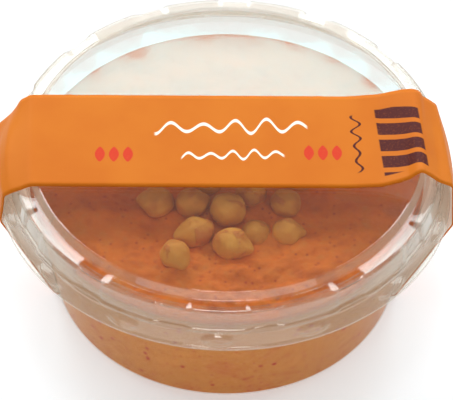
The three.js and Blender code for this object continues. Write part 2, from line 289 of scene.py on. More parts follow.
@dataclass(frozen=True)
class ClearPlastic:
    """Clear moulded plastic: see-through, glossy and with a trace of haze. Lengths in millimetres.

    Attributes:
        name: the material's name.
        tint: colour of what shows through one face.
        haze: share of light that the sheet scatters itself.
        ring_haze: what the frosted ring adds to it.
        ring_slant: what it adds besides where it is seen edge-on.
        ring: inner and outer radius of the frosted ring.
        rim: radii between which the finish of the rim sets in.
        rim_haze: what the steep part outside the ring adds to it.
        skirt_haze: what the flared part below that adds to it.
        skirt_drop: where that part starts, under the lid's top.
        slant_haze: what a sheet seen edge-on adds to it.
        milk: colour of the haze.
        rim_tint: colour of what shows through one face of the rim, or of a sheet seen edge-on.
        shine: how strong the gloss is, as a factor on the true one.
        head_on: share of light that the true one mirrors where it is seen head-on.
        roughness: of the gloss.
        waviness: depth of the sheet's slow waves.
    """

    name: str
    tint: Colour = (0.965, 0.967, 0.96, 1.0)
    haze: float = 0.002
    ring_haze: float = 0.0
    ring_slant: float = 0.0
    ring: tuple[float, float] = (50.3, 51.9)
    rim: tuple[float, float] = (54.6, 55.8)
    rim_haze: float = 0.0
    skirt_haze: float = 0.0
    skirt_drop: float = 7.9
    slant_haze: float = 0.15
    milk: Colour = srgb(244, 232, 212)
    rim_tint: Colour = (0.97, 0.965, 0.955, 1.0)
    shine: float = 0.5
    head_on: float = 0.042
    roughness: float = 0.045
    waviness: float = 0.012

    def material(self, axis: Vector) -> bpy.types.Material:
        """Builds the material.

        Args:
            axis: the pack's axis, which the frosted ring runs round.

        Returns:
            The material.
        """
        bench = Bench.named(self.name)
        at = bench.place()
        x, y, z = bench.split(at)
        radius = ((x - axis.x / MM) ** 2.0 + (y - axis.y / MM) ** 2.0) ** 0.5
        inner, outer = self.ring
        frost = radius.ramp(inner - 0.2, inner + 0.2) * (1.0 - radius.ramp(outer - 0.4, outer + 0.2))
        normal = bench.bump(bench.clouds(at, 9.0, 1.0), self.waviness)
        clear = bench.add("ShaderNodeBsdfTransparent", {}, {"Color": self.tint})
        lit = bench.add("ShaderNodeBsdfDiffuse", {}, {"Color": self.milk})
        through = bench.add("ShaderNodeBsdfTranslucent", {}, {"Color": self.milk})
        milk = bench.blend(lit, through, 0.5)
        gloss = bench.add("ShaderNodeBsdfGlossy", {}, {"Roughness": self.roughness, "Normal": normal})
        slant = bench.add("ShaderNodeLayerWeight", {}, {"Blend": 0.5, "Normal": normal}, "Facing")
        mirror = (self.head_on + (1 - self.head_on) * slant ** 5.0) * self.shine
        smoky = bench.add("ShaderNodeBsdfTransparent", {}, {"Color": self.rim_tint})
        rim = radius.ramp(*self.rim)
        flare = (axis.z / MM - z).ramp(self.skirt_drop - 0.3, self.skirt_drop + 0.3) * rim
        clear = bench.blend(clear, smoky, (rim - flare * 0.5 + slant ** 3.0 * 2.0).clamped())
        share = self.haze + (rim - flare) * self.rim_haze + flare * self.skirt_haze
        share = share + frost * (self.ring_haze + slant * self.ring_slant) + slant ** 3.0 * self.slant_haze
        body = bench.blend(clear, milk, share.clamped())
        return bench.finished(bench.blend(body, gloss, mirror.clamped()))


@dataclass(frozen=True)
class PaprikaPaste:
    """Hummus with paprika: a warm paste with darker swirls and red flecks, evener at its far side.

    Attributes:
        base: colour of most of the paste.
        deep: colour of the darker, redder swirls.
        pale: colour of the paler swirls.
        fleck: colour of the chilli flecks.
        top: redder colour of the top, painted light that stands for the warm bounce light in its shade.
    """

    base: Colour = srgb(200, 122, 36)
    deep: Colour = srgb(188, 80, 22)
    pale: Colour = srgb(214, 132, 44)
    fleck: Colour = srgb(180, 52, 8)
    top: Colour = srgb(234, 117, 8)

    def material(self, level: float) -> bpy.types.Material:
        """Builds the material.

        Args:
            level: height of the fill at the wall, in metres.

        Returns:
            The material.
        """
        bench = Bench.named("paprika_hummus")
        at = bench.place()
        _, y, height = bench.split(at)
        swirls = bench.clouds(at, 14.0, 4.0, 1.2)
        fine = bench.clouds(at, 2.2, 4.0)
        grain = bench.clouds(at, 0.9, 3.0)
        few = bench.clouds(at, 9.0, 1.0).ramp(0.45, 0.6)
        on_top = height.ramp(level / MM - 1.2, level / MM - 0.4)
        uneven = 1.0 - on_top * y.ramp(*CALM) * 0.8
        # painted light: the top is tinted redder than the wall to stand for the warm bounce light in its
        # shade
        colour = bench.tinted(self.base, self.top, on_top)
        for over, share in (
            (self.deep, swirls.ramp(0.5, 0.72) * 0.4),
            (self.pale, (1.0 - swirls).ramp(0.52, 0.75) * 0.5),
            (self.deep, fine.ramp(0.5, 0.75) * 0.3),
            (self.pale, (1.0 - fine).ramp(0.5, 0.7) * 0.3),
            (self.fleck, bench.specks(at, 3.2, 0.85) * few * (1.0 - on_top * 0.7)),
            (self.fleck, bench.specks(at, 2.3, 0.45) * 0.7),
        ):
            colour = bench.tinted(colour, over, share * uneven)
        normal = bench.bump((grain * 0.6 + fine * 0.8) * uneven, 0.3)
        values = {
            "Base Color": colour,
            "Roughness": 0.55 + fine * 0.25,
            "Specular IOR Level": 0.3,
            "Subsurface Weight": 0.15,
            "Subsurface Radius": (1.0, 0.4, 0.2),
            "Subsurface Scale": 0.0015,
            "Normal": normal,
        }
        return bench.principled(values)


@dataclass(frozen=True)
class ChickpeaSkin:
    """Skin of a cooked chickpea: pale ochre with darker and paler patches, with a moist sheen.

    Attributes:
        base: colour of the skin.
        shade: colour of its darker patches.
        light: colour of its paler patches.
        smear: colour of the hummus that clings to it.
    """

    base: Colour = srgb(226, 150, 50)
    shade: Colour = srgb(208, 122, 36)
    light: Colour = srgb(238, 170, 66)
    smear: Colour = srgb(206, 112, 38)

    def material(self) -> bpy.types.Material:
        """Builds the material."""
        bench = Bench.named("chickpea_skin")
        at = bench.place()
        patches = bench.clouds(at, 4.5, 2.0)
        fine = bench.clouds(at, 0.8, 3.0)
        colour = bench.tinted(self.base, self.shade, patches.ramp(0.48, 0.75) * 0.8)
        colour = bench.tinted(colour, self.light, (1.0 - patches).ramp(0.5, 0.75) * 0.7)
        cling = bench.clouds(at, 6.5, 3.0, 0.5).ramp(0.56, 0.64)
        colour = bench.tinted(colour, self.smear, cling * 0.8)
        normal = bench.bump(patches * 0.7 + fine * 0.3 + cling * 0.8, 0.18)
        values = {
            "Base Color": colour,
            "Roughness": 0.5 + fine * 0.2,
            "Specular IOR Level": 0.35,
            "Subsurface Weight": 0.2,
            "Subsurface Radius": (1.0, 0.5, 0.25),
            "Subsurface Scale": 0.0015,
            "Normal": normal,
        }
        return bench.principled(values)


@dataclass(frozen=True)
class PrintedCard:
    """Orange printed card with plain marks in white, red and maroon.

    Attributes:
        ground: the printed orange.
        warm: the slightly redder orange of its large blotches.
        chalk: the white of the brush strokes.
        red: the red of the small marks.
        maroon: the dark colour of the end block.
    """

    ground: Colour = srgb(203, 108, 7)
    warm: Colour = srgb(198, 101, 4)
    chalk: Colour = srgb(250, 236, 216)
    red: Colour = srgb(205, 52, 22)
    maroon: Colour = srgb(76, 12, 6)

    def material(self, axis: Vector) -> bpy.types.Material:
        """Builds the material.

        Args:
            axis: the pack's axis, which the marks are placed from.

        Returns:
            The material.
        """
        bench = Bench.named("printed_card")
        at = bench.place()
        x, y, z = bench.split(at)
        x = x - axis.x / MM
        blotch = bench.clouds(at, 22.0, 3.0)
        fibre = bench.clouds(at, 0.5, 2.0)
        colour = bench.tinted(self.ground, self.warm, blotch.ramp(0.35, 0.7))
        on_top = z.ramp(axis.z / MM - 3.5, axis.z / MM - 3.0)
        wear = 0.86 + 0.14 * fibre.ramp(0.3, 0.5)
        for ink, mask in self.marks(x, y):
            colour = bench.tinted(colour, ink, (mask * on_top * wear).clamped())
        normal = bench.bump(fibre, 0.012)
        values = {
            "Base Color": colour,
            "Roughness": 0.5 + blotch * 0.12,
            "Specular IOR Level": 0.14,
            "Normal": normal,
        }
        return bench.principled(values)

    def marks(self, x: Wire, y: Wire) -> Iterable[tuple[Colour, Wire]]:
        """The printed marks, from the middle of the card out.

        Args:
            x: millimetres along the card from the pack's axis.
            y: millimetres across it.

        Returns:
            Pairs of an ink and where it lies, 0 to 1.
        """
        long_wave = self.stroke(x, y, (-19.0, 21.0), 5.4, 1.9, 8.2, 0.42)
        short_wave = self.stroke(x, y, (-12.0, 15.0), -4.6, 1.2, 5.6, 0.34)
        yield self.chalk, long_wave.larger(short_wave)
        yield self.red, self.petals(x + 29.0, y + 4.5).larger(self.petals(x - 24.6, y + 3.6))
        yield self.maroon, self.block(x + y * 0.09 - 2.6, y).larger(
            self.stroke(y, x + y * 0.09 - 33.4, (-11.0, 10.0), 0.0, 0.9, 5.2, 0.26))

    def stroke(self, x: Wire, y: Wire, span: tuple[float, float], level: float,
               swing: float, length: float, half: float) -> Wire:
        """A brushed wave along the card."""
        tall = 1.0 + (x * (1.7 / length)).sin() * 0.35
        wave = (x * (2 * math.pi / length)).sin() * tall * swing + (x * 0.13).sin() * 0.4 + level
        inside = x.ramp(span[0], span[0] + 0.8) * (1.0 - x.ramp(span[1] - 0.8, span[1]))
        return (1.0 - abs(y - wave).ramp(half, half * 1.7)) * inside

    def petals(self, x: Wire, y: Wire) -> Wire:
        """Three small leaf shapes side by side."""
        cell = x.wrap(3.6)
        width = (1.0 - (y * 0.36) * (y * 0.36)).larger(0.0) * 1.3
        inside = (1.0 - abs(x).ramp(5.3, 5.5)) * (1.0 - abs(y).ramp(2.5, 2.7))
        return (1.0 - (abs(cell) - width).ramp(-0.15, 0.15)) * inside

    def block(self, x: Wire, y: Wire) -> Wire:
        """The dark block at the slack end, crossed by plain bars."""
        frame_x = 1.0 - abs(x - 42.0).ramp(5.3, 5.7)
        frame_y = 1.0 - abs(y + 0.6).ramp(11.6, 12.0)
        bars = abs((y + x * 0.28).wrap(5.9)).ramp(0.75, 0.95)
        return frame_x * frame_y * bars


@dataclass(frozen=True)
class PlainBoard:
    """Unprinted back of the card, with a faint glow of painted light that stands for the light through it
    and lightens its shaded inner face.

    Attributes:
        base: its colour.
        fibre: colour of its darker fibres.
        glow: colour of the painted-light glow.
        painted_glow_strength: strength of that painted-light glow.
    """

    base: Colour = srgb(240, 236, 228)
    fibre: Colour = srgb(196, 186, 172)
    glow: Colour = srgb(255, 244, 232)
    painted_glow_strength: float = 0.22

    def material(self) -> bpy.types.Material:
        """Builds the material."""
        bench = Bench.named("plain_board")
        at = bench.place()
        fibre = bench.clouds(at, 0.6, 4.0)
        colour = bench.tinted(self.base, self.fibre, fibre.ramp(0.5, 0.75) * 0.2)
        normal = bench.bump(fibre, 0.03)
        values = {
            "Base Color": colour,
            "Roughness": 0.8,
            # painted light: this emission lightens the card's shaded inner face
            "Emission Color": self.glow,
            "Emission Strength": self.painted_glow_strength,
            "Normal": normal,
        }
        return bench.principled(values)


@dataclass
class Pack:
    """Where the pack stands in the row frame.

    Attributes:
        axis: the tub's axis, at the height of the lid's top.
    """

    axis: Vector

    @classmethod
    def from_frame(cls) -> "Pack":
        """Reads the axis from the tub's box and its height from the lid's."""
        low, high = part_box("tub")
        lid_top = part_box("lid")[1].z
        return cls(Vector(((low.x + high.x) / 2, (low.y + high.y) / 2, lid_top)))

    def drop(self, millimetres: float) -> float:
        """A height given as millimetres under the lid's top."""
        return self.axis.z - millimetres * MM


def to_piece(name: str, bm: bmesh.types.BMesh, materials: Sequence[bpy.types.Material]) -> bpy.types.Object:
    """A smooth-shaded scene object from a bmesh, at the origin.

    Args:
        name: the piece's name.
        bm: the mesh, freed here.
        materials: its materials, by slot.

    Returns:
        The object.
    """
    mesh = bpy.data.meshes.new(name)
    bm.to_mesh(mesh)
    bm.free()
    mesh.shade_smooth()
    for material in materials:
        mesh.materials.append(material)
    piece = bpy.data.objects.new(name, mesh)
    bpy.context.scene.collection.objects.link(piece)
    return piece


def settle(piece: bpy.types.Object, slot: Slot, *nodes: str) -> None:
    """Makes a piece ride with the pack in place of its CAD nodes.

    Args:
        piece: the finished piece.
        slot: the record's slot; not used.
        *nodes: the CAD nodes that it stands for.
    """
    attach(piece, "root")
    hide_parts(*nodes)
    LOG.info("%s: %d faces", piece.name, len(piece.data.polygons))


WELD = 2e-6  # metres within which a spun body's seams are merged
RING_REACH = 1.4  # how far beside a corner its support rings run, as a factor on its rounding


@dataclass
class Turned:
    """A body turned round the pack's axis.

    Attributes:
        pack: where the pack stands.
        steps: facets round the axis.
        sectors: equal sectors that the turning is done in.
    """

    pack: Pack
    steps: int = 240
    sectors: int = 20

    def spun(self, profile: Profile, rounding: float) -> bmesh.types.BMesh:
        """Spins a profile round the axis.

        Args:
            profile: radius and height of each corner, in metres, from the axis and back to it.
            rounding: size of the round at each corner, in metres.

        Returns:
            The closed mesh, faces outwards.
        """
        axis = self.pack.axis
        bm = bmesh.new()
        corners = [bm.verts.new((axis.x + r, axis.y, z)) for r, z in profile]
        chain = [corners[0]]
        for here, there in zip(corners, corners[1:]):
            length = (there.co - here.co).length
            share = rounding * RING_REACH / length
            if 0 < share < 0.4:
                chain += [bm.verts.new(here.co.lerp(there.co, at)) for at in (share, 1 - share)]
            chain.append(there)
        for pair in zip(chain, chain[1:]):
            bm.edges.new(pair)
        if rounding > 0:
            bmesh.ops.bevel(bm, geom=corners[1:-1], offset=rounding, affect="VERTICES", segments=3,
                            profile=0.5, material=-1, clamp_overlap=True)
        sector = 2 * math.pi / self.sectors
        bmesh.ops.spin(bm, geom=bm.verts[:] + bm.edges[:], cent=axis, axis=(0, 0, 1), angle=sector,
                       steps=self.steps // self.sectors, use_merge=False, use_duplicate=False)
        bmesh.ops.spin(bm, geom=bm.verts[:] + bm.edges[:] + bm.faces[:], cent=axis, axis=(0, 0, 1),
                       angle=2 * math.pi - sector, steps=self.sectors - 1, use_merge=False,
                       use_duplicate=True)
        bmesh.ops.remove_doubles(bm, verts=bm.verts, dist=WELD)
        bmesh.ops.recalc_face_normals(bm, faces=bm.faces)
        return bm

    def polar(self, point: Vector) -> tuple[float, float]:
        """Radius in metres and azimuth in degrees from -Y towards +X of a point."""
        x, y = point.x - self.pack.axis.x, point.y - self.pack.axis.y
        return math.hypot(x, y), math.degrees(math.atan2(x, -y))


@dataclass
class Tub(Turned):
    """The clear tub: straight wall, round foot and a rolled rim under the lid, in millimetres.

    Attributes:
        wall: thickness of the sheet.
        base_radius: outside radius at the foot.
        fillet: outside radius of the foot's round.
        facets: facets of that round.
        neck_radius: outside radius under the rim.
        neck_drop: how far the neck is under the lid's top.
    """

    wall: float = 0.8
    base_radius: float = 45.5
    fillet: float = 3.0
    facets: int = 8
    neck_radius: float = 51.0
    neck_drop: float = 14.0

    def quarter(self, radius: float) -> Profile:
        """The foot's round at a radius, from its lowest point up to the wall."""
        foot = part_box("tub")[0].z
        middle = (self.base_radius - self.fillet) * MM
        points = []
        for i in range(self.facets + 1):
            angle = i / self.facets * math.pi / 2
            points.append((middle + radius * MM * math.sin(angle),
                           foot + (self.fillet - radius * math.cos(angle)) * MM))
        return points

    def build(self) -> None:
        """Models the tub."""
        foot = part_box("tub")[0].z
        drop = self.pack.drop
        outside = [(0.0, foot), *self.quarter(self.fillet), (self.neck_radius * MM, drop(self.neck_drop))]
        rim_under = [(51.4, 12.9), (51.9, 7.4), (52.9, 4.2), (53.6, 4.5), (54.3, 8.3), (55.2, 10.4)]
        rim_over = [(55.8, 10.2), (54.9, 8.0), (54.2, 4.1), (53.7, 3.2), (52.6, 3.2), (51.1, 7.2),
                    (50.6, 12.7), (self.neck_radius - self.wall, self.neck_drop)]
        rim = [(r * MM, drop(z)) for r, z in rim_under + rim_over]
        inner = list(reversed(self.quarter(self.fillet - self.wall)))
        profile = outside + rim + inner + [(0.0, foot + self.wall * MM)]
        bm = self.spun(profile, 0.25 * MM)
        finish = ClearPlastic("tub_clear").material(self.pack.axis)
        settle(to_piece("tub_shell", bm, [finish]), Slot.TUB, "tub")


@dataclass
class Lid(Turned):
    """The clear snap lid: flat panel, ledge, steep slope and flared skirt, in millimetres.

    Attributes:
        lug_count: pull bumps round the skirt.
        lug_phase: azimuth of the front bump, in degrees.
        lug_height: how far a bump stands out.
        lug_drop: how far its middle is under the lid's top.
        lug_size: half its width, in degrees, and half its height.
        notch_depth: how far the slope sits in at a notch, midway between two bumps.
        notch_half: half a notch's width, walls included, in degrees.
        notch_sag: how far the ledge's edge sinks there.
        ledge: its inner and outer radius.
        slope_radius: outside this, a point is on the slope or the skirt and moves outwards too.
        press_depth: how far the sleeve pushes the skirt in on the right.
        press_azimuth: where it does, in degrees.
        press_spread: how wide that is, in degrees.
        press_radii: where the push starts and where it is full.
    """

    steps: int = 540
    sectors: int = 15
    lug_count: int = 15
    lug_phase: float = -2.2
    lug_height: float = 0.9
    lug_drop: float = 9.8
    lug_size: tuple[float, float] = (5.2, 1.5)
    notch_depth: float = 0.45
    notch_half: float = 4.5
    notch_sag: float = 0.5
    ledge: tuple[float, float] = (51.9, 55.2)
    slope_radius: float = 54.9
    press_depth: float = 2.2
    press_azimuth: float = 98.0
    press_spread: float = 14.0
    press_radii: tuple[float, float] = (55.7, 59.5)

    def offset(self, azimuth: float) -> float:
        """Degrees from the nearest bump's middle."""
        return wrapped(azimuth - self.lug_phase, 360 / self.lug_count)

    def notch(self, azimuth: float) -> float:
        """Share of the notch's depth at an azimuth: 1 in its middle, 0 beside it, walls 1 degree wide."""
        from_middle = 180 / self.lug_count - abs(self.offset(azimuth))
        return min(max(self.notch_half - from_middle, 0.0), 1.0)

    def shift(self, azimuth: float, drop: float, radius: float) -> tuple[float, float]:
        """How far a point of the ledge or of what lies outside it moves, in millimetres.

        Args:
            azimuth: degrees from the front towards +X.
            drop: millimetres under the lid's top.
            radius: millimetres from the axis.

        Returns:
            The shift down and the shift outwards.
        """
        notch = self.notch(azimuth)
        sag = self.notch_sag * notch * straight(radius, *self.ledge) * (1 - smoothstep(drop, 2.8, 5.5))
        wide, tall = self.lug_size
        away = math.hypot(self.offset(azimuth) / wide, (drop - self.lug_drop) / tall)
        bump = self.lug_height * (1 - smoothstep(away, 0.5, 1.0))
        slope = smoothstep(drop, 1.9, 2.3) * (1 - smoothstep(drop, 7.9, 8.3))
        press = self.press_depth * gauss(wrapped(azimuth - self.press_azimuth), self.press_spread)
        return sag, bump - self.notch_depth * notch * slope - press * straight(radius, *self.press_radii)

    def build(self) -> None:
        """Models the lid."""
        top = [(0.0, 0.0), (50.4, 0.0), (51.8, 1.8), (52.8, 1.86), (53.9, 1.93), (55.0, 2.0),
               (55.7, 2.5), (56.1, 5.0), (56.45, 7.25), (56.95, 7.3), (57.2, 7.7), (57.0, 8.2),
               (57.2, 8.7), (57.55, 9.25), (57.9, 9.8), (58.25, 10.3), (58.6, 10.75), (58.95, 11.1),
               (59.4, 11.15), (59.6, 11.55), (59.5, 12.0)]
        below = [(0.0, 0.6), (50.1, 0.6), (51.5, 2.4), (52.5, 2.46), (53.6, 2.53), (54.7, 2.6),
                 (55.1, 2.9), (55.5, 5.4), (55.9, 7.8), (56.3, 8.5), (56.7, 9.1), (57.05, 9.7),
                 (57.4, 10.2), (57.75, 10.7), (58.1, 11.15), (58.5, 11.65), (58.95, 12.1)]
        profile = [(r * MM, self.pack.drop(d)) for r, d in below + list(reversed(top))]
        bm = self.spun(profile, 0.2 * MM)
        axis = self.pack.axis
        for vert in bm.verts:
            radius, azimuth = self.polar(vert.co)
            drop = (axis.z - vert.co.z) / MM
            if radius < 52 * MM:
                continue
            down, out = self.shift(azimuth, drop, radius / MM)
            vert.co.z -= down * MM
            if radius >= self.slope_radius * MM:
                outward = Vector((vert.co.x - axis.x, vert.co.y - axis.y, 0)).normalized()
                vert.co += outward * out * MM
        finish = ClearPlastic("lid_clear", ring_haze=0.1, ring_slant=0.55, rim_haze=0.11, skirt_haze=0.17,
                              slant_haze=1.3, rim_tint=(0.89, 0.9, 0.875, 1.0), shine=1.9)
        settle(to_piece("lid_shell", bm, [finish.material(axis)]), Slot.LID, "lid")


@dataclass(frozen=True)
class Ridge:
    """A soft ridge of spread hummus along an arc, in millimetres and degrees."""

    x: float
    y: float
    radius: float
    heading: float
    sweep: float
    width: float
    height: float

    def at(self, x: float, y: float) -> float:
        """Height of the ridge at a point."""
        distance = math.hypot(x - self.x, y - self.y) - self.radius
        azimuth = math.degrees(math.atan2(x - self.x, -(y - self.y)))
        off = wrapped(azimuth - self.heading)
        return self.height * gauss(distance, self.width) * gauss(off, self.sweep / 2)


@dataclass
class Relief:
    """The surface of the hummus over its level at the wall, in millimetres."""

    ridges: tuple[Ridge, ...] = (
        Ridge(-6, 4, 41, 8, 62, 2.6, 1.7),
        Ridge(10, -6, 30, 48, 60, 2.8, 1.5),
        Ridge(-8, 2, 30, -62, 70, 3.0, 1.4),
    )
    waves: tuple[tuple[float, float, float], ...] = (
        (23.0, 25.0, 0.3),
        (15.5, 100.0, 0.25),
        (11.2, -38.0, 0.2),
        (8.3, 66.0, 0.16),
    )

    def main(self, x: float, y: float) -> float:
        """Broad form: a low dome, ridges and spoon waves."""
        radius = math.hypot(x, y)
        height = 0.5 * gauss(radius, 24)
        height += sum(ridge.at(x, y) for ridge in self.ridges)
        calm = 1 - 0.7 * smoothstep(y, *CALM)
        for length, direction, amount in self.waves:
            turn = math.radians(direction)
            along = x * math.cos(turn) + y * math.sin(turn)
            height += calm * amount * math.sin(2 * math.pi * along / length + math.sin((x - y) / 17) * 1.1)
        return height * smoothstep(49.5 - radius, 0, 6)

    def fine(self, x: float, y: float) -> float:
        """Small lumps and creases on top of the broad form."""
        radius = math.hypot(x, y)
        lumps = noise.fractal(Vector((x, y, 0.0)) / 7.0, 1.0, 2.1, 4)
        crease = abs(noise.noise(Vector((x + 3.0 * lumps, y, 5.0)) / 5.0))
        rough = 0.35 + 1.3 * smoothstep(-y, 20, 36)
        small = noise.fractal(Vector((x, y, 9.0)) / 2.6, 1.0, 2.1, 3)
        height = 0.8 * lumps + 0.7 * rough * (0.3 - crease) + 0.45 * rough * small
        return height * smoothstep(50.0 - radius, 0, 3) * (1 - 0.6 * smoothstep(y, *CALM))


@dataclass
class HummusFill(Turned):
    """The hummus: fills the tub to its level and reaches just into the wall, in millimetres.

    Attributes:
        relief: form of its top.
        bite: how far it reaches into the wall.
        rings: rings of the top's mesh.
    """

    steps: int = 320
    relief: Relief = field(default_factory=Relief)
    bite: float = 0.45
    rings: int = 110

    def build(self, tub: Tub, heap: "Heap") -> None:
        """Models the hummus.

        Args:
            tub: the tub it fills.
            heap: the chickpeas, which it rises round a little.
        """
        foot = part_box("tub")[0].z
        inset = tub.wall - self.bite
        level = self.pack.drop(LEVEL)
        edge = (50.75 + self.bite) * MM
        profile = [(0.0, foot + inset * MM), *tub.quarter(tub.fillet - inset),
                   ((tub.neck_radius - inset) * MM, self.pack.drop(tub.neck_drop)),
                   ((50.6 + self.bite) * MM, self.pack.drop(12.7)), (edge, level)]
        profile += [(edge * ring / self.rings, level) for ring in range(self.rings - 1, -1, -1)]
        bm = self.spun(profile, 0.0)
        axis = self.pack.axis
        for vert in bm.verts:
            if vert.co.z < level - 1e-6:
                continue
            x, y = (vert.co.x - axis.x) / MM, (vert.co.y - axis.y) / MM
            height = self.relief.main(x, y) + self.relief.fine(x, y) + heap.collar(x, y)
            vert.co.z += height * MM
        settle(to_piece("hummus_fill", bm, [PaprikaPaste().material(level)]), Slot.HUMMUS, "hummus")


@dataclass(frozen=True)
class Chickpea:
    """One chickpea of the heap.

    Attributes:
        node: its CAD node.
        x: millimetres from the pack's axis.
        y: millimetres from the pack's axis.
        size: factor on the usual radius.
        stretch: factor along its length.
        heading: where its beak points, in degrees.
        sink: how much deeper than usual it sits.
    """

    node: str
    x: float
    y: float
    size: float
    stretch: float
    heading: float
    sink: float = 0.0


@dataclass
class Heap:
    """The chickpeas on the hummus, in millimetres.

    Attributes:
        pack: where the pack stands.
        relief: form of the hummus under them.
        radius: usual radius of a chickpea.
        depth: how deep an upright one sits.
        hidden: how many lie under the sleeve, out of sight.
        gap: least distance between the middle of one of those and the next chickpea's.
        peas: all of them, filled in by plan().
    """

    pack: Pack
    relief: Relief
    radius: float = 4.7
    depth: float = 1.4
    hidden: int = 9
    gap: float = 9.3
    peas: list[Chickpea] = field(default_factory=list)

    SHOWN = (
        (0.3, -16.2, 1.0, 1.0, 205, -0.5),
        (-17.9, -13.0, 0.92, 1.0, 250, 0.0),
        (-9.1, -13.7, 0.88, 0.98, 120, 0.0),
        (-7.7, -23.1, 0.9, 1.1, -80, 0.0),
        (-13.0, -31.2, 0.84, 1.0, 32, 0.0),
        (1.2, -27.2, 0.95, 1.05, 75, 0.0),
        (7.6, -21.6, 0.8, 1.05, 60, 2.0),
        (15.1, -12.9, 0.86, 1.0, 200, 0.0),
        (15.4, -22.0, 0.84, 1.0, 100, 1.2),
        (6.3, -9.4, 0.86, 1.0, 150, 0.6),
    )

    def plan(self) -> None:
        """Lists the chickpeas: those that show, then the hidden ones by a repeatable draw."""
        rows = list(self.SHOWN)
        state = 11

        def draw(low: float, high: float) -> float:
            """Next number of a repeatable run."""
            nonlocal state
            state = state * 48271 % 2147483647
            return low + (high - low) * state / 2147483647

        while len(rows) < len(self.SHOWN) + self.hidden:
            x, y = draw(-19, 20), draw(-6, 17)
            row = (x, y, draw(0.84, 0.98), draw(0.98, 1.06), draw(0, 360), draw(0, 0.8))
            if all(math.hypot(x - other[0], y - other[1]) >= self.gap for other in rows):
                rows.append(row)
        self.peas = [Chickpea(f"chickpea_{i:02d}", *row) for i, row in enumerate(rows, 1)]

    def centre(self, pea: Chickpea) -> Vector:
        """The middle of a chickpea, in the row frame."""
        lift = self.relief.main(pea.x, pea.y) + self.radius * pea.size * 0.9 - self.depth - pea.sink
        z = self.pack.drop(LEVEL) + lift * MM
        return Vector((self.pack.axis.x + pea.x * MM, self.pack.axis.y + pea.y * MM, z))

    def collar(self, x: float, y: float) -> float:
        """How much the hummus rises round the chickpeas at a point, in millimetres."""
        best = 0.0
        for pea in self.peas:
            away = math.hypot(x - pea.x, y - pea.y) - self.radius * pea.size * 0.8
            best = max(best, 0.55 * gauss(away, 1.3))
        return best

    def form(self, unit: Vector, pea: Chickpea) -> Vector:
        """A point of a chickpea, from a direction out of its middle.

        Args:
            unit: the direction.
            pea: which chickpea, for its own unevenness.

        Returns:
            The point, in millimetres, beak at +X.
        """
        beak = Vector((1.0, 0.0, 0.1)).normalized()
        from_beak = unit.angle(beak)
        lift = 0.4 * gauss(from_beak, 0.27)
        cleft = 0.09 * gauss(unit.y, 0.16) * smoothstep(unit.x, -0.3, 0.6)
        own = Vector((pea.x, pea.y, 0.0))
        dents = 0.11 * noise.noise(unit * 1.5 + own) + 0.03 * noise.noise(unit * 4.0 + own)
        reach = pea.size * self.radius * (1 + lift - cleft + dents)
        return Vector((unit.x * reach * pea.stretch, unit.y * reach * 0.98, unit.z * reach * 0.9))

    def build(self) -> None:
        """Models the chickpeas."""
        skin = ChickpeaSkin().material()
        for pea in self.peas:
            bm = bmesh.new()
            bmesh.ops.create_icosphere(bm, subdivisions=4, radius=1.0)
            for vert in bm.verts:
                vert.co = self.form(vert.co.normalized(), pea) * MM
            tip = Matrix.Rotation(math.radians(12), 4, "Y")
            turn = Matrix.Rotation(math.radians(pea.heading - 90), 4, "Z")
            bmesh.ops.transform(bm, matrix=Matrix.Translation(self.centre(pea)) @ turn @ tip, verts=bm.verts)
            settle(to_piece(f"pea_{pea.node[-2:]}", bm, [skin]), Slot.CHICKPEA, pea.node)


Station = Sequence[Vector]


